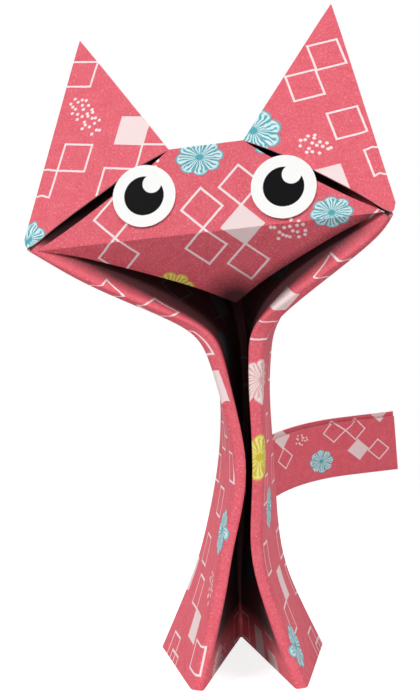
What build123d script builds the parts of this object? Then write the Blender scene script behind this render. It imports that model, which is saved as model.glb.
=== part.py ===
"""Origami cat: one printed sheet folded into a pleated body, head, ears and tail, with two eye stickers.

Millimetres. Front faces -Y, up is +Z. The origin is the foot of the centre crease, where the sheet stands.
"""
import math
import os

from build123d import *

# Paper
sheet = 0.30             # folded sheet, two layers pressed together
tail_layer = 0.22        # one layer of the tail strip
lap = 0.40               # how far one panel runs into the next across a fold

# Head on the neck
neck_seat = (-1.7, -16.0, 64.0)
head_tilt = 4.5          # right ear lifted
head_turn = -10.0        # face turned to its right
head_half_width = 34.2   # centre to the side corner
face_forward = -17.6     # crease line of the face, from the neck seat
face_level = 20.4
crown_half_width = 7.1
crown_front = -14.6      # top edge of the face
crown_level = 36.2
crown_slope = 52.0       # slope of the head's back layer, behind the face
ear_tip = (25.7, 0.5, 64.4)
chin = (2.6, -8.0, 7.4)
corner_radius = 0.6      # layers of paper bunched at each side corner
corner_depth = 1.3
slit_rise = 1.4          # how far the ear's lower edge bows up from the slit
slit_sag = 0.6           # how far the face's edge bows down from the slit

# Front folds of the two pleats
fold_depth = 0.7         # outer corner of a front fold behind its inner corner
fold_radius = 0.5

# Tail
tail_height = 14.4
tail_step = 1.0          # the front layer is this much lower than the back one
tail_gap = 0.9           # between the middles of its two layers
tail_root = (4.2, 11.2)  # straight start, from the centre crease
tail_curl_radius = 24.0
tail_curl = 69.0
tail_end = 12.6          # straight end
tail_plane = Plane(origin=(1.0, -0.6, 30.7), x_dir=(1, 0, 0.1), z_dir=(-0.1, -0.2, 1))

# Eye stickers
eye_radius = 6.0
eye_thick = 0.12
left_eye_seat = (-11.7, 8.2)   # from the middle of the crease, along it and up the face
right_eye_seat = (14.3, 6.8)

neck = Location(neck_seat, (0, -head_tilt, head_turn))
head = Plane(neck)


def on_head(side, x, y, z):
    """A point given in the head's own frame, on the left (-1) or the right (+1)."""
    return head.from_local_coords(Vector(side * x, y, z))


def past(point, start, amount):
    """The point moved further from start by amount."""
    return point + (point - start).normalized() * amount


def half_pleat(fold_x, fold_y, fold_width, edge_x, edge_y, crease_x, crease_y, bow):
    """Right half of a cross-section: free edge, front fold, bowed panel and crease."""
    run = Vector(crease_x - fold_x, crease_y - fold_y)
    outward = Vector(run.Y, -run.X).normalized()
    middle = Vector((fold_x + crease_x) / 2, (fold_y + crease_y) / 2) + outward * bow
    return [
        (edge_x, edge_y),
        (fold_x + fold_width, fold_y + fold_depth),
        (fold_x, fold_y),
        (middle.X, middle.Y),
        (crease_x, crease_y),
    ]


# Cross-sections from the feet to the head: the place, then the fold, free edge, crease and bow of the panel
crown_place = neck * Location((0, face_forward, face_level), (crown_slope, 0, 0))
crown_run = (crown_level - face_level) / math.sin(math.radians(crown_slope))
throat = 0.32 * head_half_width
cheek = 0.65 * head_half_width
sections = [
    (Location((0, 0, 0)), half_pleat(8.6, -33.0, 2.0, 16.8, -6.0, 0.7, 0.0, 1.5)),
    (Location((-0.3, 0, 14)), half_pleat(4.2, -33.2, 2.0, 10.3, -6.2, 0.7, -0.3, 1.5)),
    (Location((0, 0, 20)), half_pleat(2.6, -33.1, 2.0, 8.5, -6.3, 0.7, -0.4, 1.4)),
    (Location((0.4, 0, 27)), half_pleat(1.4, -33.0, 2.0, 7.1, -6.5, 0.7, -0.5, 1.2)),
    (Location((1.5, 0, 40)), half_pleat(0.5, -32.5, 2.0, 5.5, -7.0, 0.7, -0.8, 1.0)),
    (Location((1.7, 0, 54), (0, 0, -4)), half_pleat(1.6, -31.5, 2.2, 4.8, -8.5, 0.7, -1.5, 1.0)),
    (Location((1.6, 0, 62), (2, 0, -5.5)), half_pleat(2.4, -31.5, 2.6, 5.8, -9.2, 0.8, -2.4, 1.1)),
    (Location((1.3, 0, 68.2), (4, 0, -7)), half_pleat(3.4, -31.5, 3.2, 6.9, -10.0, 0.9, -3.5, 1.2)),
    (
        neck * Location((0, -16.2, 6.4), (18, 4, 0)),
        half_pleat(throat, 0, 3.0, throat + 4.6, 16.0, 1.8, 24.2, 2.0),
    ),
    (
        neck * Location((0, -17.0, 12.4), (36, 1.5, 0)),
        half_pleat(cheek, 0, 2.4, cheek + 2.8, 10.2, 3.8, 22.5, 3.0),
    ),
    (
        crown_place,
        half_pleat(head_half_width, 0, 0.9, head_half_width + 0.7, 2.4, crown_half_width, crown_run, 3.5),
    ),
]
radii = [0, fold_radius, 0, 0, 0, 0, fold_radius, 0]
crown_back = sections[-1][1][-1]
panel_bow = sections[-1][1][-2]

with BuildPart() as folded_sheet:
    # Pleated body, from the feet through the neck to the back of the head
    for place, half in sections:
        with BuildSketch(Plane(place)):
            with BuildLine():
                left = [(-x, y) for x, y in half]
                FilletPolyline(*left, *reversed(half), radius=radii)
            trace(line_width=sheet)
    loft(ruled=True)

    # Side corners of the head, where the layers bunch up
    corner = [on_head(s, head_half_width, face_forward, face_level) for s in (-1, 1)]
    for point in corner:
        with Locations(Plane(point, x_dir=head.x_dir, z_dir=head.y_dir)):
            Cylinder(corner_radius, corner_depth)

    # Face: upper panel with bowed slit edges, and lower panel folded back to the chin along the crease
    crown = [on_head(s, crown_half_width, crown_front, crown_level) for s in (-1, 1)]
    brow = [(corner[i] + crown[i]) / 2 + (corner[1 - i] - crown[i]).normalized() * slit_sag for i in (0, 1)]
    with BuildLine() as upper_face:
        ThreePointArc(corner[0], brow[0], crown[0])
        Line(crown[0], crown[1])
        ThreePointArc(crown[1], brow[1], corner[1])
        Line(corner[1], corner[0])
    thicken(Face(upper_face.wire()), amount=sheet / 2, both=True)
    with BuildLine() as lower_face:
        Polyline(corner[0], corner[1], head.from_local_coords(Vector(*chin)), close=True)
    thicken(Face(lower_face.wire()), amount=sheet / 2, both=True)

    # Crown: the strip folded over from the face's top edge to the back layer
    crown_plane = Plane(crown_place)
    back = [crown_plane.from_local_coords(Vector(s * crown_back[0], crown_back[1], 0)) for s in (-1, 1)]
    with BuildLine() as crown_strip:
        front_edge = [past(crown[i], back[i], sheet / 2) for i in (0, 1)]
        back_edge = [past(back[i], crown[i], sheet / 2) for i in (0, 1)]
        Polyline(front_edge[0], front_edge[1], back_edge[1], back_edge[0], close=True)
    thicken(Face(crown_strip.wire()), amount=sheet / 2, both=True)

    # Ears: a front panel with a bowed lower edge, a folded back in two panels, and a narrow inner side
    for i, s in enumerate((-1, 1)):
        tip = on_head(s, *ear_tip)
        bow = crown_plane.from_local_coords(Vector(s * panel_bow[0], panel_bow[1], 0))
        lift = (corner[i] + crown[i]) / 2
        with BuildLine() as ear_front:
            ThreePointArc(corner[i], past(lift, tip, -slit_rise), crown[i])
            Line(crown[i], tip)
            Line(tip, corner[i])
        thicken(Face(ear_front.wire()), amount=sheet / 2, both=True)
        for a, b in ((corner[i], bow), (bow, back[i]), (back[i], crown[i])):
            with BuildLine() as ear_back:
                Polyline(past(a, tip, lap), past(b, tip, lap), tip, close=True)
            thicken(Face(ear_back.wire()), amount=sheet / 2, both=True)

    # Tail: a strip folded along its lower edge, rising from the centre crease and curling round to the right
    with BuildLine(tail_plane) as tail_path:
        root = Line((0, 0), tail_root)
        curl = JernArc(start=root @ 1, tangent=root % 1, radius=tail_curl_radius, arc_size=-tail_curl)
        PolarLine(start=curl @ 1, length=tail_end, direction=curl % 1)
    with BuildSketch(Plane(tail_path.line @ 0, x_dir=tail_plane.z_dir, z_dir=tail_path.line % 0)):
        with BuildLine():
            top = tail_height / 2
            side = tail_gap / 2
            Polyline((top, -side), (-top, -side), (-top, side), (top - tail_step, side))
        trace(line_width=tail_layer)
    sweep(path=tail_path.line)

folded_sheet.part.label = "folded_sheet"

# Eye stickers, flat on the upper face
face_plane = Plane(
    origin=(corner[0] + corner[1]) / 2,
    x_dir=corner[1] - corner[0],
    z_dir=(corner[1] - corner[0]).cross(crown[0] - corner[0]),
).offset(sheet / 2)

with BuildPart() as left_eye_sticker:
    with BuildSketch(face_plane):
        with Locations(left_eye_seat):
            Circle(eye_radius)
    extrude(amount=eye_thick)
left_eye_sticker.part.label = "left_eye_sticker"

with BuildPart() as right_eye_sticker:
    with BuildSketch(face_plane):
        with Locations(right_eye_seat):
            Circle(eye_radius)
    extrude(amount=eye_thick)
right_eye_sticker.part.label = "right_eye_sticker"

os.makedirs("parts", exist_ok=True)
export_step(folded_sheet.part, "parts/folded_sheet.step")
export_step(left_eye_sticker.part, "parts/left_eye_sticker.step")
export_step(right_eye_sticker.part, "parts/right_eye_sticker.step")
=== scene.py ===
import bmesh
import bpy
import math
from bmesh.types import BMEdge, BMFace, BMVert
from mathutils import Matrix, Vector


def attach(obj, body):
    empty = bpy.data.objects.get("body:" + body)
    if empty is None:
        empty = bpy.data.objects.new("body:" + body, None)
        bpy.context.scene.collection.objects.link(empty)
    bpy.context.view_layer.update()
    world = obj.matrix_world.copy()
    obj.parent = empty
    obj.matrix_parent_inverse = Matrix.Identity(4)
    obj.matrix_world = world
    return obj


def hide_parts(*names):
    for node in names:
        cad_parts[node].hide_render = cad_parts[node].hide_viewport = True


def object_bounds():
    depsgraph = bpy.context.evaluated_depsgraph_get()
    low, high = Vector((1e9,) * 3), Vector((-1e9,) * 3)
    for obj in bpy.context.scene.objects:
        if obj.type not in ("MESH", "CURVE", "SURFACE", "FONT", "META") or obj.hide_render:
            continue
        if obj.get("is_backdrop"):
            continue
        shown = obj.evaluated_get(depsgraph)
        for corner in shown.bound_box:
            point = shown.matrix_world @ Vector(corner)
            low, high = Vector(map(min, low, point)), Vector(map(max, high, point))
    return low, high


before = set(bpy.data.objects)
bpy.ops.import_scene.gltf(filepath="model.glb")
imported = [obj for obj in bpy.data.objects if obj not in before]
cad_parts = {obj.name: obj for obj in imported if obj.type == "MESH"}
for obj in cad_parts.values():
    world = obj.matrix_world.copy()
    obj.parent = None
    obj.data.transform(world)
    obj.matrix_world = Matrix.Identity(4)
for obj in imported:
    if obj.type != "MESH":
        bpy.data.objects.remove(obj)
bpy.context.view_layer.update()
mm = 0.001
leftRight = (-1, 1)  # sign of x on each side
print("frame loaded")


# Small helpers

def linear(hexColour):  # sRGB hex to linear RGBA
    parts = [int(hexColour[i:i + 2], 16) / 255 for i in (1, 3, 5)]
    return [c / 12.92 if c <= 0.04045 else ((c + 0.055) / 1.055) ** 2.4 for c in parts] + [1]


def addNode(tree, kind, ins=(), out=0, **settings):  # one node with its settings, values and links
    made = tree.nodes.new("ShaderNode" + kind)
    for name, value in settings.items():
        setattr(made, name, value)
    for key, value in (ins.items() if isinstance(ins, dict) else enumerate(ins)):
        if isinstance(value, bpy.types.NodeSocket):
            tree.links.new(value, made.inputs[key])
        elif value is not None:
            made.inputs[key].default_value = value
    return made.outputs[out] if made.outputs else made


def newMaterial(name):
    material = bpy.data.materials.new(name)
    material.use_nodes = True
    tree = material.node_tree
    tree.nodes.clear()
    return material, tree


def backdropSeen(tree):  # 1 where the backdrop is looked at, mirrored or seen through glass
    path = addNode(tree, "LightPath").node
    seen = path.outputs["Is Camera Ray"]
    for ray in ("Is Glossy Ray", "Is Transmission Ray"):
        seen = addNode(tree, "Math", (seen, path.outputs[ray]), operation="MAXIMUM")
    return seen


def place(seat, turns=(0, 0, 0)):  # a place in mm, turned about its own x, then y, then z
    turned = Matrix.Translation(seat)
    for axis, degrees in zip("XYZ", turns):
        turned = turned @ Matrix.Rotation(math.radians(degrees), 4, axis)
    return turned


# Head: places in the neck's own frame, in mm
head = {
    "neck": place((-1.7, -16.0, 64.0), (0, -4.5, -10)),  # right ear lifted, face turned to its right
    "halfWidth": 34.2,
    "creaseForward": -17.6,
    "creaseLevel": 20.4,
    "crownHalf": 7.1,
    "crownShift": 0.5,
    "crownForward": -14.6,
    "crownLevel": 36.7,
    "backSlope": 52.0,
    "earTip": (25.7, 0.5, 64.4),
    "chin": (2.6, -8.0, 7.4),
    "earLift": 1.2,    # the ear's lower edge stands off the slit
    "browSag": 0.8,    # and the face's edge below it
    "faceInset": {-1: 1.3, 1: 2.3},  # the face's side corners stop inside the head's, left and right
    "faceBack": 0.3,   # and a little behind them
    "chinBow": 1.5,    # the lower face's free edges bow up from the wings below
}


def onHead(x, y, z):
    return head["neck"] @ Vector((x, y, z))


crownPlace = head["neck"] @ place((0, head["creaseForward"], head["creaseLevel"]), (head["backSlope"], 0, 0))
crownRun = (head["crownLevel"] - head["creaseLevel"]) / math.sin(math.radians(head["backSlope"]))
corner = {s: onHead(s * head["halfWidth"], head["creaseForward"], head["creaseLevel"]) for s in leftRight}
crown = {
    s: onHead(s * head["crownHalf"] + head["crownShift"], head["crownForward"], head["crownLevel"])
    for s in leftRight
}
faceCorner = {
    s: onHead(
        s * (head["halfWidth"] - head["faceInset"][s]),
        head["creaseForward"] + head["faceBack"],
        head["creaseLevel"],
    )
    for s in leftRight
}
tip = {s: onHead(s * head["earTip"][0], *head["earTip"][1:]) for s in leftRight}
chin = onHead(*head["chin"])

# Body: a pleated strip. Each station gives its place and the right half of its section:
# front fold x, y and width, free edge x, y, centre crease x, y and the bow of the inner panel
throat = 0.32 * head["halfWidth"]  # where the neck opens into the head
cheek = 0.65 * head["halfWidth"]
body = {
    "foldDepth": 0.7,
    "stations": [
        (place((0, 0, 0)), (8.6, -33.0, 2.0, 16.8, -6.0, 0.25, 0.0, 0.1)),
        (place((-0.3, 0, 14)), (4.2, -33.2, 2.0, 10.3, -6.2, 0.5, -0.3, 0.9)),
        (place((0, 0, 20)), (2.6, -33.1, 2.0, 8.5, -6.3, 0.7, -0.4, 1.4)),
        (place((0.4, 0, 27)), (1.4, -33.0, 2.0, 7.1, -6.5, 0.7, -0.5, 1.2)),
        (place((1.5, 0, 40)), (0.25, -32.5, 2.0, 5.5, -7.0, 0.7, -0.8, 1.0)),
        (place((1.7, 0, 54), (0, 0, -4)), (1.6, -31.5, 2.2, 4.8, -8.5, 0.7, -1.5, 1.0)),
        (place((1.6, 0, 62), (2, 0, -5.5)), (2.4, -31.5, 2.6, 5.8, -9.2, 0.8, -2.4, 1.1)),
        (place((1.3, 0, 68.2), (4, 0, -7)), (3.4, -31.5, 3.2, 6.9, -10.0, 0.9, -3.5, 1.2)),
        (head["neck"] @ place((0, -16.2, 6.4), (18, 4, 0)),
         (throat, 0, 3.0, throat + 4.6, 16.0, 1.8, 24.2, 2.0)),
        (head["neck"] @ place((0, -17.0, 12.4), (36, 1.5, 0)),
         (cheek, 0, 2.4, cheek + 2.8, 10.2, 3.8, 22.5, 3.0)),
        (head["neck"] @ place((0, -17.4, 17.6), (46.4, 0.5, 0)),
         (30.0, 0, 1.4, 31.4, 4.4, 5.9, 21.3, 3.3)),
        (crownPlace,
         (head["halfWidth"], 0, 0.8, head["halfWidth"] + 0.6, 1.2, head["crownHalf"], crownRun, 3.5)),
    ],
    "foldPoints": (1, 2, 7, 8),    # of the ten points in a section
    "creasePoints": (4, 5),
    "rightPoints": (7, 8, 9),
    "risePoints": (2, 7, 4, 5),    # those that measure the print's rise
    "innerColumns": range(2, 7),   # panels inside the pleats
    # Across, by station: the gap between the front folds leans left
    "foldShift": {1: -0.5, 2: -1.1, 3: -1.6, 4: -0.2, 5: -0.4, 6: -0.2},
    # Across and up, by station: the right wing ends blunt
    "rightNudge": {-2: (-0.2, -1.1), -1: (-1.75, -1.0)},
    "foldCrease": 0.85,  # the front folds are pressed less hard than the rest
    "islands": [0, 1, 2, 2, 3, 4, 4, 5, 6],  # flat runs of the print between folds
    "printTurn": 45,
}


def sectionPoints(station):  # ten points from the left free edge to the right one
    where, (foldX, foldY, width, edgeX, edgeY, creaseX, creaseY, bow) = station
    run = Vector((creaseX - foldX, creaseY - foldY))
    middle = Vector((foldX, foldY)) + run / 2 + Vector((run.y, -run.x)).normalized() * bow
    half = [(edgeX, edgeY), (foldX + width, foldY + body["foldDepth"])]
    half += [(foldX, foldY), middle, (creaseX, creaseY)]
    flat = [Vector((-x, y, 0)) for x, y in half] + [Vector((x, y, 0)) for x, y in reversed(half)]
    return [where @ p for p in flat]


sections = [sectionPoints(s) for s in body["stations"]]
for i, (across, upwards) in body["rightNudge"].items():
    for k in body["rightPoints"]:
        sections[i][k] += head["neck"].to_3x3() @ Vector((across, 0, upwards))
for i, across in body["foldShift"].items():
    for k in body["foldPoints"]:
        sections[i][k].x += across
# The last section from fold to fold, where the ears join on
wingLeft, bowLeft, backLeft, backRight, bowRight, wingRight = sections[-1][2:8]
wingEnd = {-1: wingLeft, 1: wingRight}
back = {-1: backLeft, 1: backRight}
backBow = {-1: bowLeft, 1: bowRight}

# Paper: each group of panels has three material slots, for its outer side, inner side and cut edges
sheet = {
    "thickness": 0.28,
    "levels": 3,
    "groups": ["body", "pleat", "face", "jaw", "leftEar", "rightEar", "earBack", "tail"],
    "slots": 3,
    "islandGap": 0.01,  # splits the print map at a fold, so that smoothing keeps it in place
    "mergeGap": 0.01,   # panels that meet at a corner share its point
}

mesh = bpy.data.meshes.new("foldedPaper")
bm = bmesh.new()
uvMap = bm.loops.layers.uv.new("sheet")
crease = bm.edges.layers.float.new("crease_edge")
# how far each point lies in from the front folds, which sets the painted shade in the pleats
depth = bm.verts.layers.float.new("pleatDepth")


def chain(points):  # an open row of points joined by edges
    verts = [bm.verts.new(p) for p in points]
    return verts, [bm.edges.new(pair) for pair in zip(verts, verts[1:])]


def ofKind(geom, kind):  # the points, edges or faces among what an operator made
    return [g for g in geom if isinstance(g, kind)]


def fold(a, b, sharp=1.0):  # presses the edge between two points
    edge = bm.edges.get((a, b))
    edge[crease] = sharp
    edge.smooth = sharp < 1


def mapFaces(faces, where, group):  # print coordinates in mm
    for face in faces:
        face.material_index = sheet["slots"] * sheet["groups"].index(group)
        face.smooth = True
        for loop in face.loops:
            loop[uvMap].uv = where(loop.vert)


def flatSpot(point, origin, right, up):  # a point in a flat panel's own plane
    away = point - origin
    return Vector((away.dot(right), away.dot(up)))


def planeMap(origin, right, up, turn=0.0, shift=(0, 0)):  # flat panel to print coordinates
    spin = Matrix.Rotation(math.radians(turn), 2)
    return lambda vert: spin @ flatSpot(vert.co, origin, right, up) + Vector(shift)


def fromMiddle(lengths):  # places along a row, counted from its middle
    return [sum(lengths[:i]) - sum(lengths) / 2 for i in range(len(lengths) + 1)]


# Pleated body: rows bridged from the feet to the back of the head
bodyTurn = Matrix.Rotation(math.radians(body["printTurn"]), 2)
rows = [chain(points) for points in sections]
rise = 0.0
printPlace = {}
for i, (verts, edges) in enumerate(rows):
    if i:
        steps = [(a.co - b.co).length for a, b in zip(verts, rows[i - 1][0])]
        rise += sum(steps[k] for k in body["risePoints"]) / len(body["risePoints"])
    spans = fromMiddle([e.calc_length() for e in edges])
    foldSpan = spans[body["innerColumns"].stop]  # pleats are measured in from the front folds
    for vert, across in zip(verts, spans):
        printPlace[vert] = Vector((across, rise))
        vert[depth] = max(0, foldSpan - abs(across))
for low, high in zip(rows, rows[1:]):
    made = bmesh.ops.bridge_loops(bm, edges=low[1] + high[1])
    for face in made["faces"]:
        column = min(low[0].index(v) for v in face.verts if v in low[0])
        aside = Vector((sheet["islandGap"] * body["islands"][column], 0))
        group = "pleat" if column in body["innerColumns"] else "body"
        mapFaces([face], lambda vert: bodyTurn @ (printPlace[vert] + aside), group)
    for k in body["foldPoints"]:
        fold(low[0][k], high[0][k], body["foldCrease"])
    for k in body["creasePoints"]:
        fold(low[0][k], high[0][k])
top = rows[-1][0]
for k in body["innerColumns"]:
    fold(top[k], top[k + 1])
print("body", len(bm.faces))


def fan(points, peak):  # a row drawn up to one point
    verts, edges = chain(points)
    made = bmesh.ops.extrude_edge_only(bm, edges=edges)["geom"]
    bmesh.ops.pointmerge(bm, verts=ofKind(made, BMVert), merge_co=peak)
    faces = list({f for e in edges for f in e.link_faces})
    summit = next(v for v in faces[0].verts if v not in verts)
    return verts, summit, faces


def bowed(a, b, towards, lift, parts=6, power=4):  # points along an edge that bows soon after its ends
    push = (towards - (a + b) / 2).normalized() * lift
    return [a.lerp(b, t / parts) + push * (1 - (2 * t / parts - 1) ** power) for t in range(parts + 1)]


# Ears: front panel with a blunt outer corner and a bowed lower edge, back in two panels, narrow inner side,
# and a small panel that closes the corner to the wing. High and low are the ends of the blunt corner,
# outwards and up from the head's own
ears = {
    -1: {"group": "leftEar", "high": (-0.26, 3.0), "low": (1.0, 0.3), "backTurn": 40},
    1: {"group": "rightEar", "high": (-1.15, 1.1), "low": (0.0, -1.5), "backTurn": -40},
}
headVerts = list(bm.verts)
for s, ear in ears.items():
    middle = (corner[s] + crown[s]) / 2
    right = (corner[s] - crown[s]).normalized() * s
    up = (tip[s] - middle) - right * (tip[s] - middle).dot(right)
    up.normalize()
    outer, inner = (corner[s] + right * s * ear[end][0] + up * ear[end][1] for end in ("high", "low"))
    verts, summit, faces = fan([outer] + bowed(inner, crown[s], tip[s], head["earLift"]), tip[s])
    mapFaces(faces, planeMap(middle, right, up), ear["group"])
    fold(verts[0], summit)
    fold(verts[-1], summit)
    headVerts += verts + [summit]
    panels = [(outer, backBow[s], tip[s]), (backBow[s], back[s], tip[s]), (back[s], crown[s], tip[s])]
    for a, b, peak in panels + [(outer, wingEnd[s], backBow[s])]:
        verts, summit, faces = fan([a, b], peak)
        mapFaces(faces, planeMap(middle, right, up, ear["backTurn"]), "earBack")
        for pair in ((verts[0], verts[1]), (verts[0], summit), (verts[1], summit)):
            fold(*pair)
        headVerts += verts + [summit]

# Crown strip and face: the upper panel folds over at the top and back to the chin at the crease
creaseMiddle = (corner[-1] + corner[1]) / 2
along = (corner[1] - corner[-1]).normalized()
facePeak = (crown[-1] + crown[1]) / 2
faceUp = facePeak - creaseMiddle
faceUp = (faceUp - along * faceUp.dot(along)).normalized()
chinDrop = chin - creaseMiddle
chinUp = -(chinDrop - along * chinDrop.dot(along)).normalized()
crownTop = (crown[1] - creaseMiddle).dot(faceUp)
overUp = (back[1] - crown[1]).normalized()
overMap = planeMap(facePeak, along, overUp, 0, ((facePeak - creaseMiddle).dot(along), crownTop))

strip = [chain([crown[-1], crown[1]]), chain([back[-1], back[1]])]
made = bmesh.ops.bridge_loops(bm, edges=strip[0][1] + strip[1][1])
mapFaces(made["faces"], overMap, "face")
(stripLeft, stripRight), (overLeft, overRight) = strip[0][0], strip[1][0]
for a, b in ((stripLeft, stripRight), (overLeft, overRight), (stripLeft, overLeft), (stripRight, overRight)):
    fold(a, b)
headVerts += strip[0][0] + strip[1][0]

browLeft = bowed(crown[-1], faceCorner[-1], corner[1], head["browSag"])
browRight = bowed(crown[1], faceCorner[1], corner[-1], head["browSag"])
upperFace = [chain(list(pair)) for pair in zip(browLeft, browRight)]
for low, high in zip(upperFace, upperFace[1:]):
    made = bmesh.ops.bridge_loops(bm, edges=low[1] + high[1])
    mapFaces(made["faces"], planeMap(creaseMiddle, along, faceUp), "face")
headVerts += upperFace[0][0]
fold(*upperFace[0][0])
creaseVerts, creaseEdges = upperFace[-1]
fold(*creaseVerts)
jaws = []
for s in leftRight:
    inward = (faceCorner[s] + chin) / 2 + chinUp
    jaws.append(bowed(faceCorner[s], chin, inward, head["chinBow"])[1:-1])
lowerRows = [(creaseVerts, creaseEdges)] + [chain(list(pair)) for pair in zip(*jaws)]
lowerFace = []
for low, high in zip(lowerRows, lowerRows[1:]):
    lowerFace += bmesh.ops.bridge_loops(bm, edges=low[1] + high[1])["faces"]
made = bmesh.ops.extrude_edge_only(bm, edges=lowerRows[-1][1])["geom"]
lowerFace += ofKind(made, BMFace)
bmesh.ops.pointmerge(bm, verts=ofKind(made, BMVert), merge_co=chin)
lowerFace = [f for f in lowerFace if f.is_valid]
mapFaces(lowerFace, planeMap(creaseMiddle, along, chinUp), "jaw")
chinSpot = flatSpot(chin, creaseMiddle, along, chinUp)
jawSpot = flatSpot(faceCorner[1], creaseMiddle, along, chinUp)

bmesh.ops.remove_doubles(bm, verts=[v for v in headVerts if v.is_valid], dist=sheet["mergeGap"])
print("head", len(bm.faces))

# Tail: a strip folded along its lower edge, straight, then curled, then straight
tail = {
    "origin": (1.0, -0.6, 30.7),
    "across": (1, 0, 0.1),
    "up": (-0.1, -0.2, 1),
    "root": (4.2, 11.2),
    "curlRadius": 24.0,
    "curl": 69.0,
    "end": 12.6,
    "height": 14.4,
    "step": 1.0,       # the front layer is this much lower
    "gap": 0.9,
    "curlSteps": 8,
    "printScale": 0.66,
    "foldCrease": 0.8,
    "foldAngle": 0.5,  # radians, an edge that turns more is the lower fold
    "snap": 0.001,
}
tailX = Vector(tail["across"]).normalized()
tailZ = Vector(tail["up"]).normalized()
tailPlace = Matrix((tailX, tailZ.cross(tailX), tailZ)).transposed().to_4x4()
tailPlace.translation = tail["origin"]
rootRun = Vector((*tail["root"], 0))
rootDir = rootRun.normalized()
curlSide = Vector((rootDir.y, -rootDir.x, 0))  # right of the way it runs, towards the curl
tailHalf = Vector((0, 0, tail["height"] / 2))
stepDown = Vector((0, 0, tail["step"]))
apart = curlSide * tail["gap"] / 2
before = set(bm.faces)
profile = chain([tailHalf - apart, -tailHalf - apart, -tailHalf + apart, tailHalf - stepDown + apart])
grown = bmesh.ops.extrude_edge_only(bm, edges=profile[1])["geom"]
bmesh.ops.translate(bm, verts=ofKind(grown, BMVert), vec=rootRun)
curl = math.radians(tail["curl"])
curlCentre = rootRun + curlSide * tail["curlRadius"]
spun = bmesh.ops.spin(
    bm, geom=ofKind(grown, BMEdge) + ofKind(grown, BMVert), cent=curlCentre, axis=(0, 0, -1),
    angle=curl, steps=tail["curlSteps"], use_merge=False,
)["geom_last"]
curlTurn = Matrix.Rotation(-curl, 3, "Z")
endDir = curlTurn @ rootDir
endStart = curlCentre + curlTurn @ (-curlSide * tail["curlRadius"])
last = bmesh.ops.extrude_edge_only(bm, edges=ofKind(spun, BMEdge))["geom"]
bmesh.ops.translate(bm, verts=ofKind(last, BMVert), vec=endDir * tail["end"])
tailFaces = [f for f in bm.faces if f not in before]


def tailMap(vert):  # length along the strip, and height
    spoke = vert.co - curlCentre
    angle = math.atan2(spoke.y, spoke.x) - math.atan2(-curlSide.y, -curlSide.x)
    length = rootRun.length - angle * tail["curlRadius"]
    if (vert.co - rootRun).dot(rootDir) < tail["snap"]:
        length = vert.co.dot(rootDir)
    elif angle < tail["snap"] - curl:
        length = rootRun.length + curl * tail["curlRadius"] + (vert.co - endStart).dot(endDir)
    return (length / tail["printScale"], vert.co.z / tail["printScale"])


mapFaces(tailFaces, tailMap, "tail")
for edge in {e for f in tailFaces for e in f.edges}:
    lowerEdge = all(abs(v.co.z + tailHalf.z) < tail["snap"] for v in edge.verts)
    if lowerEdge and edge.calc_face_angle(0) > tail["foldAngle"]:
        edge[crease] = tail["foldCrease"]
bmesh.ops.transform(bm, matrix=tailPlace, verts=list({v for f in tailFaces for v in f.verts}))
print("tail", len(tailFaces))

# One consistent outer side, with the face looking forwards
bmesh.ops.recalc_face_normals(bm, faces=bm.faces)
bm.normal_update()
front = next(f for f in creaseVerts[0].link_faces if f not in lowerFace)
if front.normal.y > 0:
    bmesh.ops.reverse_faces(bm, faces=[f for f in bm.faces if f not in tailFaces])
for edge in bm.edges:
    if edge.is_boundary:
        edge.smooth = False
bmesh.ops.scale(bm, vec=(mm, mm, mm), verts=bm.verts)
bm.to_mesh(mesh)
bm.free()
foldedPaper = bpy.data.objects.new("foldedPaper", mesh)
bpy.context.collection.objects.link(foldedPaper)

smooth = foldedPaper.modifiers.new("panels", "SUBSURF")
smooth.levels = smooth.render_levels = sheet["levels"]
smooth.boundary_smooth = "PRESERVE_CORNERS"
smooth.uv_smooth = "PRESERVE_BOUNDARIES"
layers = foldedPaper.modifiers.new("paper", "SOLIDIFY")
layers.thickness = sheet["thickness"] * mm
layers.offset = 0
layers.material_offset = 1      # inner side
layers.material_offset_rim = 2  # cut edges
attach(foldedPaper, "root")
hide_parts("folded_sheet")
print("paper folded")

# Print: all sizes in mm on the flat sheet
washi = {
    "ground": "#E86C7A",
    "groundDeep": "#D95665",
    "line": "#F6E3E3",
    "pale": "#F3DCDC",
    "teal": "#52A8B1",
    "tealPale": "#D6E9EE",
    "yellow": "#D2B935",
    "yellowPale": "#EFE48C",
    "blush": "#E9B4B4",
    "blushPale": "#F6E6E2",
    "lineWidth": 0.42,
    "ink": 0.05,              # softness of a printed edge
    "stray": 0.12,            # and how far it strays, over how long
    "straySize": 1.111,
    "mottleSize": 2.857,      # clouds in the solid ground
    "grainSize": 0.4545,      # and the paper's grain in it
    "mottleShare": 0.35,
    "mottleRange": (0.35, 0.65),
    "fleckSpacing": 0.42,     # pale fibres where the ink is thin
    "fleckRange": (0.60, 0.74),
    "fleckShare": 0.22,
    "dotSpacing": 1.2,
    "dotRadius": 0.34,
    "dotScatter": 0.75,
    "paintedShade": "#110F0F",        # painted shade inside the pleats, on the ear backs' inner side and under the chin
    "paintedShadePale": "#1A1616",
    "paintedShadeShare": 0.93,
    "shadeDepth": (0.6, 4.0),  # starts and is full this far in from a fold
    "shadeRise": (4.0, 8.5),   # and this far up from the feet
    "shadeEdge": (0.2, 3.2),   # full and gone this far in from the lower face's right edge
    "shadeChin": (2.5, 8.0),   # and this far from the chin
    "shadeRagged": 2.0,        # how far the grain frays it in the pleats
    "edgeRagged": 1.0,        # and on the lower face
    "cutShade": "#E08C95",    # ink soaked into the edge of the sheet
    "cutLight": "#EBA6AC",
    "cutFibre": 0.5,
    "fibreSize": 0.4,
    "fibreHeight": 0.05,
    "waveSize": 14.29,        # slow waves in the sheet
    "waveHeight": 1.2,
}

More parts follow.
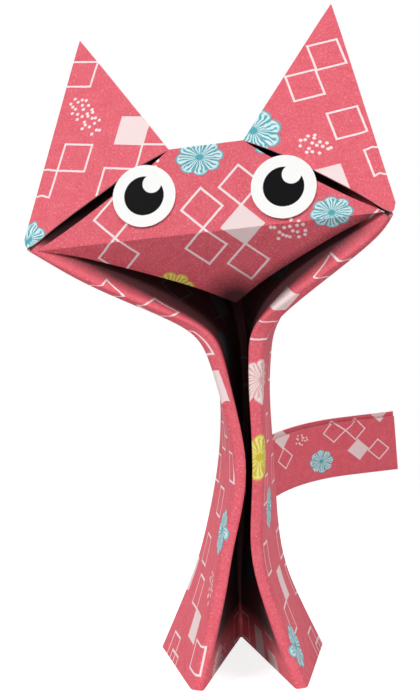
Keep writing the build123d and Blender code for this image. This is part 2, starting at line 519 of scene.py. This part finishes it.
# Flower: the radius in mm, then shares of the petal's length, of its half width or of full ink
flower = {
    "radius": 4.3,
    "petals": 8,
    "veins": 24,
    "roundness": 0.45,
    "notch": 0.26,            # depth of the cut between two petals
    "veinStray": 0.35,
    "strayLength": 1.25,      # mm
    "edge": (1.02, 0.98),
    "veinInk": (-0.1, 0.5),
    "veinEnd": (0.93, 0.80),  # veins fade before the tip
    "between": (0.34, 0.16),  # dark line between two petals
    "rim": (0.90, 0.96),
    "heart": (0.20, 0.14),
}

# Where the motifs lie on each group of panels, repeating over one tile: half a diamond's diagonal,
# diamonds by centre, flowers by centre, flatness and size, dot patches by centre and half sizes.
# The body's print is turned, so its places run along the two diagonals of the strip
layouts = {
    "face": {
        "tile": (72, 40),
        "half": 3.85,
        "diamonds": [(-17.7, 4.65), (-17.7, -3.05), (-1.0, 4.65), (-1.0, -3.05), (6.3, 8.2), (6.3, -7.2),
                     (-29.5, -5.0), (31.0, -3.0), (-27.0, 14.0), (-19.3, 14.0), (20.0, 18.0)],
        "filled": [(6.3, 0.5), (27.7, 18.0)],
        "flowers": [(-0.8, 14.4, 1.3, 1.07), (22.5, 1.0, 1.3, 0.92), (13.0, 17.0, 1.0, 1.0),
                    (-20.0, -13.0, 1.2, 1.0)],
        "yellow": [(-9.0, -11.2, 1.25, 1.0)],
        "blush": [],
        "dots": [(14.7, -1.5, 3.6, 2.4), (-11.0, 14.0, 2.6, 4.6), (18.0, -12.5, 3.8, 2.4)],
    },
    "leftEar": {
        "tile": (60, 60),
        "half": 4.2,
        "diamonds": [(11.3, 29.0), (0.8, 12.1), (-7.6, 12.1), (4.4, 1.4), (12.9, 0.6)],
        "filled": [(12.9, 9.0)],
        "flowers": [(-16.0, 2.0, 1.0, 1.0)],
        "yellow": [],
        "blush": [],
        "dots": [(7.3, 19.1, 2.3, 5.8)],
    },
    "rightEar": {
        "tile": (60, 60),
        "half": 4.2,
        "diamonds": [(-11.2, 24.8), (-11.5, 16.4), (-0.7, 12.5), (9.0, 8.5)],
        "filled": [(2.3, -0.6)],
        "flowers": [(-15.2, 2.7, 1.1, 1.3)],
        "yellow": [],
        "blush": [],
        "dots": [(-3.7, 5.2, 3.4, 2.3)],
    },
    "tail": {
        "tile": (80, 40),
        "half": 3.85,
        "diamonds": [(58.0, 6.2), (65.7, 6.2), (74.3, -2.4), (36.0, 1.1), (20.0, -4.0), (12.3, -4.0)],
        "filled": [(66.6, -1.6), (35.4, 8.8), (20.0, 3.7), (75.5, 12.0)],
        "flowers": [(52.3, -4.1, 1.1, 1.15), (6.0, 6.0, 1.1, 1.0)],
        "yellow": [(27.0, -14.0, 1.0, 1.0)],
        "blush": [],
        "dots": [(44.5, 6.0, 3.0, 2.2)],
    },
    "body": {
        "tile": (80, 80),
        "half": 3.85,
        "diamonds": [(-46.4, -25.2), (-30.8, -23.0), (-36.8, -38.2), (-55.5, 2.5), (-57.6, -11.0),
                     (-54.1, -22.3), (-70.7, 22.6), (-75.3, 35.0), (-86.3, 38.2), (-65.8, 3.5),
                     (11.0, 44.2), (23.7, 39.3), (39.2, 42.0), (2.1, 53.7), (-27.6, 70.0),
                     (-39.6, 87.7), (-2.8, 65.1), (11.9, 66.5), (-67.9, -2.8), (-5.4, -0.6), (0.0, 4.8)],
        "filled": [(-38.7, -25.1), (-64.7, 15.9), (23.7, 47.0), (-36.1, 75.7), (7.4, 11.7)],
        "flowers": [(-47.8, -7.4, 1.0, 1.0), (23.0, 32.9, 1.0, 1.0), (9.9, 55.2, 1.0, 1.0),
                    (-19.1, 87.0, 1.0, 1.0), (-86.3, 19.8, 1.0, 1.0)],
        "yellow": [(-6.9, 54.2, 1.0, 1.0)],
        "blush": [(-17.7, 64.3, 1.0, 1.0)],
        "dots": [(-41.5, -15.3, 3.4, 2.4), (-14.1, 68.5, 2.0, 3.2)],
    },
}


def printedPaper(group, layout):
    # Uncoated craft paper, offset printed: flat ink over fibres, no gloss, a faint mottle in the solid ground
    material, tree = newMaterial(group + "CraftPaper")
    place2d = addNode(tree, "UVMap", uv_map="sheet")
    wobble = {"Vector": place2d, "Scale": 1 / washi["straySize"], "Detail": 2.0}
    wobble = addNode(tree, "TexNoise", wobble, out="Color")
    shaken = addNode(tree, "VectorMath", (wobble, (0.5, 0.5, 0.5)), operation="SUBTRACT")
    stray = (washi["stray"], washi["stray"], 0)
    drawn = addNode(tree, "VectorMath", (shaken, stray, place2d), operation="MULTIPLY_ADD")

    def toMotif(x, y, source=drawn):  # place measured from the nearest copy of a motif
        moved = addNode(tree, "VectorMath", (source, (x, y, 0)), operation="SUBTRACT")
        w, h = layout["tile"]
        return addNode(tree, "VectorMath", (moved, (w / 2, h / 2, 1), (-w / 2, -h / 2, -1)), operation="WRAP")

    def inked(distance, edge):  # 1 inside the edge, 0 outside it
        spread = {"Value": distance, "From Min": edge + washi["ink"], "From Max": edge - washi["ink"]}
        return addNode(tree, "MapRange", spread)

    def merged(parts, how):  # the nearest or the strongest of several
        total = parts[0]
        for part in parts[1:]:
            total = addNode(tree, "Math", (total, part), operation=how)
        return total

    # Diamonds stand on a corner: distance past the edge is (x + y) / sqrt 2 less half a side
    slant = layout["half"] / math.sqrt(2)
    square = (math.sqrt(0.5), math.sqrt(0.5), 0)
    lineAway = []
    fillAway = []
    for spot in layout["diamonds"] + layout["filled"]:
        folded = addNode(tree, "VectorMath", (toMotif(*spot),), operation="ABSOLUTE")
        past = addNode(tree, "VectorMath", (folded, square), out="Value", operation="DOT_PRODUCT")
        past = addNode(tree, "Math", (past, slant), operation="SUBTRACT")
        if spot in layout["filled"]:
            fillAway.append(past)
        else:
            lineAway.append(addNode(tree, "Math", (past,), operation="ABSOLUTE"))
    lines = inked(merged(lineAway, "MINIMUM"), washi["lineWidth"] / 2)
    fills = inked(merged(fillAway, "MINIMUM"), washi["lineWidth"] / 2)

    # Dot patches: each whole dot whose centre lies in an oval
    cell = {"Vector": drawn, "Scale": 1 / washi["dotSpacing"], "Randomness": washi["dotScatter"]}
    dots = addNode(tree, "TexVoronoi", cell, voronoi_dimensions="2D", feature="F1").node
    inOval = []
    for x, y, wide, tall in layout["dots"]:
        fromCentre = toMotif(x, y, dots.outputs["Position"])
        shrunk = addNode(tree, "VectorMath", (fromCentre, (1 / wide, 1 / tall, 0)), operation="MULTIPLY")
        reached = addNode(tree, "VectorMath", (shrunk,), out="Value", operation="LENGTH")
        inOval.append(addNode(tree, "Math", (reached, 1.0), operation="LESS_THAN"))
    dotAway = addNode(tree, "Math", (dots.outputs["Distance"], washi["dotSpacing"]), operation="MULTIPLY")
    dotInk = (inked(dotAway, washi["dotRadius"]), merged(inOval, "MAXIMUM"))
    dotInk = addNode(tree, "Math", dotInk, operation="MULTIPLY")

    # Flowers: lobed petals with fine veins, from the nearest flower of each colour
    def flowerParts(spots):
        nearest = None
        for x, y, flat, size in spots:
            local = toMotif(x, y)
            local = addNode(tree, "VectorMath", (local, (1 / size, flat / size, 0)), operation="MULTIPLY")
            length = addNode(tree, "VectorMath", (local,), out="Value", operation="LENGTH")
            if nearest is None:
                nearest, shortest = local, length
                continue
            closer = addNode(tree, "Math", (length, shortest), operation="LESS_THAN")
            nearest = addNode(tree, "Mix", {0: closer, 4: nearest, 5: local}, out=1, data_type="VECTOR")
            shortest = addNode(tree, "Math", (length, shortest), operation="MINIMUM")
        split = addNode(tree, "SeparateXYZ", (nearest,)).node
        angle = addNode(tree, "Math", (split.outputs[1], split.outputs[0]), operation="ARCTAN2")
        lobe = addNode(tree, "Math", (angle, flower["petals"] / 2), operation="MULTIPLY")
        lobe = addNode(tree, "Math", (lobe,), operation="COSINE")
        lobe = addNode(tree, "Math", (lobe,), operation="ABSOLUTE")
        rounded = addNode(tree, "Math", (lobe, flower["roundness"]), operation="POWER")
        outline = (rounded, flower["notch"], 1 - flower["notch"])
        outline = addNode(tree, "Math", outline, operation="MULTIPLY_ADD")
        out = addNode(tree, "Math", (shortest, 1 / flower["radius"]), operation="MULTIPLY")
        share = addNode(tree, "Math", (out, outline), operation="DIVIDE")
        brushed = {"Vector": place2d, "Scale": 1 / flower["strayLength"], "Detail": 1.0}
        brushed = addNode(tree, "TexNoise", brushed)
        vein = addNode(tree, "Math", (brushed, flower["veinStray"], angle), operation="MULTIPLY_ADD")
        vein = addNode(tree, "Math", (vein, flower["veins"]), operation="MULTIPLY")
        vein = addNode(tree, "Math", (vein,), operation="COSINE")
        measures = {"edge": share, "veinInk": vein, "veinEnd": share}
        measures.update({"between": lobe, "rim": share, "heart": out})
        masks = {}
        for part, value in measures.items():
            start, full = flower[part]
            masks[part] = addNode(tree, "MapRange", {"Value": value, "From Min": start, "From Max": full})
        vein = addNode(tree, "Math", (masks["veinInk"], masks["veinEnd"]), operation="MULTIPLY")
        return masks["edge"], merged((vein, masks["between"], masks["rim"], masks["heart"]), "MAXIMUM")

    # Ground with a soft mottle and paper grain
    blotch = {"Vector": place2d, "Scale": 1 / washi["mottleSize"], "Detail": 3.0}
    blotch = addNode(tree, "TexNoise", blotch)
    grain = {"Vector": place2d, "Scale": 1 / washi["grainSize"], "Detail": 2.0}
    grain = addNode(tree, "TexNoise", grain)
    mottle = addNode(tree, "Math", (blotch, washi["mottleShare"]), operation="MULTIPLY")
    mottle = addNode(tree, "Math", (grain, 1 - washi["mottleShare"], mottle), operation="MULTIPLY_ADD")
    start, full = washi["mottleRange"]
    mottle = addNode(tree, "MapRange", {"Value": mottle, "From Min": start, "From Max": full})
    ground = {0: mottle, 6: linear(washi["groundDeep"]), 7: linear(washi["ground"])}
    colour = addNode(tree, "Mix", ground, out=2, data_type="RGBA")
    fleck = {"Vector": place2d, "Scale": 1 / washi["fleckSpacing"], "Detail": 1.0}
    fleck = addNode(tree, "TexNoise", fleck)
    start, full = washi["fleckRange"]
    fleck = {"Value": fleck, "From Min": start, "From Max": full, "To Max": washi["fleckShare"]}
    fleck = addNode(tree, "MapRange", fleck)
    colour = addNode(tree, "Mix", {0: fleck, 6: colour, 7: linear(washi["line"])}, out=2, data_type="RGBA")
    for mask, tone in ((fills, "pale"), (lines, "line"), (dotInk, "line")):
        colour = addNode(tree, "Mix", {0: mask, 6: colour, 7: linear(washi[tone])}, out=2, data_type="RGBA")
    for spots, tone in (("flowers", "teal"), ("yellow", "yellow"), ("blush", "blush")):
        if not layout[spots]:
            continue
        inside, dark = flowerParts(layout[spots])
        petal = {0: dark, 6: linear(washi[tone + "Pale"]), 7: linear(washi[tone])}
        petal = addNode(tree, "Mix", petal, out=2, data_type="RGBA")
        colour = addNode(tree, "Mix", {0: inside, 6: colour, 7: petal}, out=2, data_type="RGBA")

    # Painted shade in the pleats: darker further in from the folds and higher above the feet, with a ragged
    # start
    if group == "pleat":
        inwards = addNode(tree, "Attribute", out="Fac", attribute_name="pleatDepth")
        ragged = addNode(tree, "Math", (grain, washi["shadeRagged"], inwards), operation="MULTIPLY_ADD")
        start, full = (reach + washi["shadeRagged"] / 2 for reach in washi["shadeDepth"])
        deep = addNode(tree, "MapRange", {"Value": ragged, "From Min": start, "From Max": full})
        turn = math.radians(body["printTurn"])
        climb = (-math.sin(turn), math.cos(turn), 0)
        climbed = addNode(tree, "VectorMath", (place2d, climb), out="Value", operation="DOT_PRODUCT")
        start, full = washi["shadeRise"]
        climbed = {"Value": climbed, "From Min": start, "From Max": full, "To Max": washi["paintedShadeShare"]}
        climbed = addNode(tree, "MapRange", climbed)
        paintedShade = addNode(tree, "Math", (deep, climbed), operation="MULTIPLY")
        colour = addNode(tree, "Mix", {0: paintedShade, 6: colour, 7: linear(washi["paintedShade"])}, out=2, data_type="RGBA")

    # Painted shade under the chin, where the lower face runs into the dark: along its edge and towards the
    # chin
    if group == "jaw":
        run = (jawSpot - chinSpot).normalized()
        inward = Vector((-run.y, run.x))
        away = addNode(tree, "VectorMath", (place2d, (*inward, 0)), out="Value", operation="DOT_PRODUCT")
        away = addNode(tree, "Math", (grain, washi["edgeRagged"], away), operation="MULTIPLY_ADD")
        edge = chinSpot.dot(inward) + washi["edgeRagged"] / 2
        full, start = washi["shadeEdge"]
        rim = addNode(tree, "MapRange", {"Value": away, "From Min": edge + start, "From Max": edge + full})
        toChin = addNode(tree, "VectorMath", (place2d, (*chinSpot, 0)), out="Value", operation="DISTANCE")
        full, start = washi["shadeChin"]
        tipped = addNode(tree, "MapRange", {"Value": toChin, "From Min": start, "From Max": full})
        paintedShade = merged((rim, tipped), "MAXIMUM")
        paintedShade = addNode(tree, "Math", (paintedShade, washi["paintedShadeShare"]), operation="MULTIPLY")
        colour = addNode(tree, "Mix", {0: paintedShade, 6: colour, 7: linear(washi["paintedShade"])}, out=2, data_type="RGBA")

    # Fibres, drawn coarser than they are so that they show, and slow waves in the sheet
    fibre = {"Vector": place2d, "Scale": 1 / washi["fibreSize"], "Detail": 4.0, "Roughness": 0.65}
    fibre = addNode(tree, "TexNoise", fibre)
    wave = addNode(tree, "TexNoise", {"Vector": place2d, "Scale": 1 / washi["waveSize"], "Detail": 1.0})
    slow = addNode(tree, "Bump", {"Strength": 0.25, "Distance": washi["waveHeight"] * mm, "Height": wave})
    bump = {"Strength": 0.22, "Distance": washi["fibreHeight"] * mm, "Height": fibre, "Normal": slow}
    bump = addNode(tree, "Bump", bump)
    shader = {"Base Color": colour, "Roughness": 0.7, "Specular IOR Level": 0.25, "Normal": bump}
    surface = addNode(tree, "BsdfPrincipled", shader)
    addNode(tree, "OutputMaterial", (surface,))
    return material


def edgePaper(name, shade, light):
    # Cut edge of the same paper, or painted shade on the ear backs' inner side: chalky, with a little fibre
    material, tree = newMaterial(name)
    spot = addNode(tree, "UVMap", uv_map="sheet")
    fibre = addNode(tree, "TexNoise", {"Vector": spot, "Scale": 1 / washi["cutFibre"], "Detail": 4.0})
    tones = {0: fibre, 6: linear(shade), 7: linear(light)}
    colour = addNode(tree, "Mix", tones, out=2, data_type="RGBA")
    bump = addNode(tree, "Bump", {"Strength": 0.2, "Distance": washi["fibreHeight"] * mm, "Height": fibre})
    shader = {"Base Color": colour, "Roughness": 0.8, "IOR": 1.46, "Normal": bump}
    surface = addNode(tree, "BsdfPrincipled", shader)
    addNode(tree, "OutputMaterial", (surface,))
    return material


cutEdge = edgePaper("cutEdge", washi["cutShade"], washi["cutLight"])
layouts["pleat"] = layouts["body"]
layouts["jaw"] = layouts["face"]
printed = {group: printedPaper(group, layouts[group]) for group in layouts}
# The pleats' inner side and the ear backs' inner side carry painted shade
outerSides = {"pleat": printed["body"], "earBack": printed["face"]}
innerSides = {"earBack": edgePaper("paintedShadePaper", washi["paintedShade"], washi["paintedShadePale"])}
for group in sheet["groups"]:
    foldedPaper.data.materials.append(outerSides.get(group) or printed[group])
    foldedPaper.data.materials.append(innerSides.get(group) or printed[group])
    foldedPaper.data.materials.append(cutEdge)
print("print laid out")

# Eye stickers: pupil and highlight printed on a coated white round
eyes = {
    "pupil": 3.78,
    "glint": 1.78,
    "glintAt": (1.62, 2.16),
    "inkEdge": 0.05,
    "white": "#F8F8F6",
    "whitePale": "#FEFEFC",
    "black": "#08080A",
    "coatGrain": 0.3333,
    "coatHeight": 0.03,
    "left": (-11.7, 8.2),
    "right": (14.3, 6.8),
}
faceOut = along.cross(faceUp).normalized()
faceTurn = Matrix((along, faceUp, faceOut)).transposed().to_euler()


def stickerPaper(name, seat):
    # Coated paper sticker: smooth white with dense black ink and a slight sheen
    material, tree = newMaterial(name)
    centre = (creaseMiddle + along * seat[0] + faceUp * seat[1]) * mm
    spot = addNode(tree, "TexCoord", out="Object")
    lay = {"Vector": spot, "Location": centre, "Rotation": faceTurn, "Scale": (mm, mm, mm)}
    local = addNode(tree, "Mapping", lay, vector_type="TEXTURE")
    flat = addNode(tree, "VectorMath", (local, (1, 1, 0)), operation="MULTIPLY")
    out = addNode(tree, "VectorMath", (flat,), out="Value", operation="LENGTH")
    away = addNode(tree, "VectorMath", (flat, (*eyes["glintAt"], 0)), out="Value", operation="DISTANCE")
    soft = eyes["inkEdge"]
    pupil = {"Value": out, "From Min": eyes["pupil"] + soft, "From Max": eyes["pupil"] - soft}
    glint = {"Value": away, "From Min": eyes["glint"] - soft, "From Max": eyes["glint"] + soft}
    ink = (addNode(tree, "MapRange", pupil), addNode(tree, "MapRange", glint))
    ink = addNode(tree, "Math", ink, operation="MULTIPLY")
    grain = addNode(tree, "TexNoise", {"Vector": local, "Scale": 1 / eyes["coatGrain"], "Detail": 3.0})
    white = {0: grain, 6: linear(eyes["white"]), 7: linear(eyes["whitePale"])}
    white = addNode(tree, "Mix", white, out=2, data_type="RGBA")
    colour = addNode(tree, "Mix", {0: ink, 6: white, 7: linear(eyes["black"])}, out=2, data_type="RGBA")
    bump = addNode(tree, "Bump", {"Strength": 0.08, "Distance": eyes["coatHeight"] * mm, "Height": grain})
    shader = {"Base Color": colour, "Roughness": 0.5, "Specular IOR Level": 0.05, "Normal": bump}
    surface = addNode(tree, "BsdfPrincipled", shader)
    addNode(tree, "OutputMaterial", (surface,))
    return material


for side in ("left", "right"):
    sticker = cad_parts[side + "_eye_sticker"]
    sticker.data.materials.clear()
    sticker.data.materials.append(stickerPaper(side + "EyeSticker", eyes[side]))
print("eyes placed")

# Floor, lights and camera
stage = {
    "floorHalf": 3.0,
    "cardTone": "#EAEAEA",   # pale card under the cat, on a dark table
    "tableTone": "#2A2A2A",
    "cardFade": (0.14, 0.20),
    "floorSeen": 0.40,       # share of the floor's white that takes the shadow, near the cat
    "floorGlow": 0.84,
    "floorFade": (0.08, 0.26),
    "fill": 0.03,
    "lamps": {"leftSoftbox": (-46, 40, 6.8), "rightSoftbox": (46, 40, 4.9),
              "lowSoftbox": (-4, 4, 1.3), "backSoftbox": (180, 40, 5.0)},  # degrees round, degrees up, watts
    "lampSize": 0.35,
    "lampAway": 1.0,
    "aim": (0.0, -0.02, 0.07),
    "cameraAt": (-8.92, -211.63, 62.42),
    "heading": -0.81,
    "roll": -0.8,
    "lens": 50.14,
    "sensor": 36,
    "clipNear": 0.01,
}

floorMesh = bpy.data.meshes.new("floor")
bm = bmesh.new()
bmesh.ops.create_grid(bm, x_segments=1, y_segments=1, size=stage["floorHalf"])
bm.to_mesh(floorMesh)
bm.free()
floor = bpy.data.objects.new("floor", floorMesh)
bpy.context.collection.objects.link(floor)
floor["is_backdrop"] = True

floorMaterial, tree = newMaterial("paleFloor")
seen = backdropSeen(tree)
share = stage["floorSeen"]
shaded = addNode(tree, "BsdfDiffuse", {"Color": (share, share, share, 1)})
glow = addNode(tree, "Emission", {"Color": (1, 1, 1, 1), "Strength": stage["floorGlow"]})
near = addNode(tree, "AddShader", (shaded, glow))
white = addNode(tree, "Emission", {"Color": (1, 1, 1, 1), "Strength": 1.0})
spot = addNode(tree, "TexCoord", out="Object")
away = addNode(tree, "VectorMath", (spot,), out="Value", operation="LENGTH")
card = {"Value": away, "From Min": stage["cardFade"][0], "From Max": stage["cardFade"][1]}
card = addNode(tree, "MapRange", card)
tones = {0: card, 6: linear(stage["cardTone"]), 7: linear(stage["tableTone"])}
tones = addNode(tree, "Mix", tones, out=2, data_type="RGBA")
matt = addNode(tree, "BsdfDiffuse", {"Color": tones})
fade = {"Value": away, "From Min": stage["floorFade"][0], "From Max": stage["floorFade"][1]}
fade = addNode(tree, "MapRange", fade, interpolation_type="SMOOTHSTEP")
toCamera = addNode(tree, "MixShader", (fade, near, white))
shown = addNode(tree, "MixShader", (seen, matt, toCamera))
addNode(tree, "OutputMaterial", (shown,))
floorMesh.materials.append(floorMaterial)

world = bpy.data.worlds.new("studio")
bpy.context.scene.world = world
world.use_nodes = True
tree = world.node_tree
tree.nodes.clear()
level = addNode(tree, "MapRange", {"Value": backdropSeen(tree), "To Min": stage["fill"], "To Max": 1.0})
sky = addNode(tree, "Background", {"Color": (1, 1, 1, 1), "Strength": level})
addNode(tree, "OutputWorld", (sky,))

aim = Vector(stage["aim"])
for name, (degreesRound, degreesUp, watts) in stage["lamps"].items():
    lamp = bpy.data.lights.new(name, "AREA")
    lamp.energy = watts
    lamp.size = stage["lampSize"]
    softbox = bpy.data.objects.new(name, lamp)
    bpy.context.collection.objects.link(softbox)
    turned = Matrix.Rotation(math.radians(degreesRound), 3, "Z")
    turned = turned @ Matrix.Rotation(-math.radians(degreesUp), 3, "X")
    softbox.location = aim + turned @ Vector((0, -stage["lampAway"], 0))
    softbox.rotation_euler = (aim - softbox.location).to_track_quat("-Z", "Y").to_euler()
print("floor and lamps set")

cameraData = bpy.data.cameras.new("camera")
cameraData.sensor_fit = "AUTO"
cameraData.sensor_width = stage["sensor"]
cameraData.lens = stage["lens"]
cameraData.clip_start = stage["clipNear"]
camera = bpy.data.objects.new("camera", cameraData)
bpy.context.collection.objects.link(camera)
camera.location = Vector(stage["cameraAt"]) * mm
facing = Matrix.Rotation(math.radians(stage["heading"]), 3, "Z") @ Matrix.Rotation(math.radians(90), 3, "X")
camera.rotation_euler = (facing @ Matrix.Rotation(math.radians(stage["roll"]), 3, "Z")).to_euler()
bpy.context.scene.camera = camera
bpy.context.scene.view_settings.view_transform = "Standard"
print("camera set")

low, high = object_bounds()
